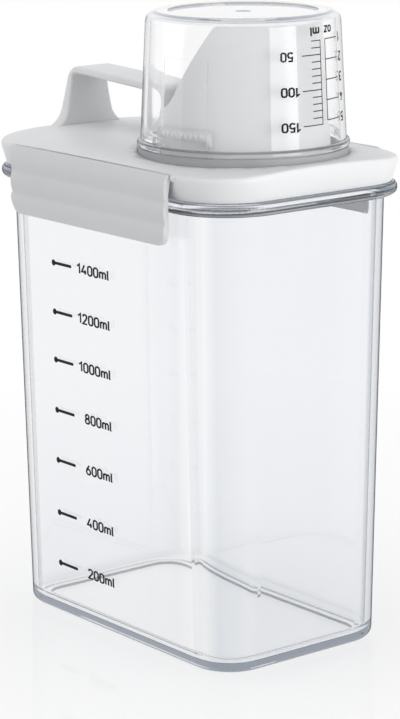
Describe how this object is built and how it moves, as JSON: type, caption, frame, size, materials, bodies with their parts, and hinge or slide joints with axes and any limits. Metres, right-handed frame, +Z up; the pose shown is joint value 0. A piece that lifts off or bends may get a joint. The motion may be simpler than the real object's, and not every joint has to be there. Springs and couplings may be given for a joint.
{
  "type": "detergent dispenser",
  "caption": "Clear upright container with a white lid, two clip flaps, an arched handle, and a pouring spout under a measuring cup.",
  "frame": {"origin": "centre of the base, on the surface that the container stands on", "axes": "+Z up; Y along the long side, with the pouring lip towards -Y and the handle towards +Y; the clip flaps are on the -X and +X sides"},
  "size_m": [0.1028, 0.149, 0.237],
  "materials": {
    "clear_body": "clear and glossy",
    "white_shell": "satin",
    "white_flap": "satin",
    "clear_cup": "clear and glossy",
    "grey_seal": "matt",
    "gasket": "matt"
  },
  "bodies": {
    "container": {"container": "clear_body"},
    "lid": {"lid": "white_shell", "lid_gasket": "gasket"},
    "latch_left": {"latch_left": "white_flap"},
    "latch_right": {"latch_right": "white_flap"},
    "cup_seal": {"cup_seal": "grey_seal"},
    "measuring_cup": {"measuring_cup": "clear_cup"}
  },
  "joints": [
    {"name": "lid_lift", "type": "slide", "parent": "container", "child": "lid", "axis": [0, 0, 1], "range_m": [0, 0.054]},
    {"name": "latch_left_swing", "type": "hinge", "parent": "lid", "child": "latch_left", "pos_m": [-0.0493, 0, 0.1828], "axis": [0, 1, 0], "range_deg": [0, 110]},
    {"name": "latch_right_swing", "type": "hinge", "parent": "lid", "child": "latch_right", "pos_m": [0.0493, 0, 0.1828], "axis": [0, -1, 0], "range_deg": [0, 110]},
    {"name": "cup_lift", "type": "slide", "parent": "lid", "child": "cup_seal", "axis": [0, 0, 1], "range_m": [0, 0.055]},
    {"name": "cup_twist", "type": "hinge", "parent": "cup_seal", "child": "measuring_cup", "pos_m": [0, -0.0286, 0.2], "axis": [0, 0, 1], "range_deg": [0, 40]}
  ]
}
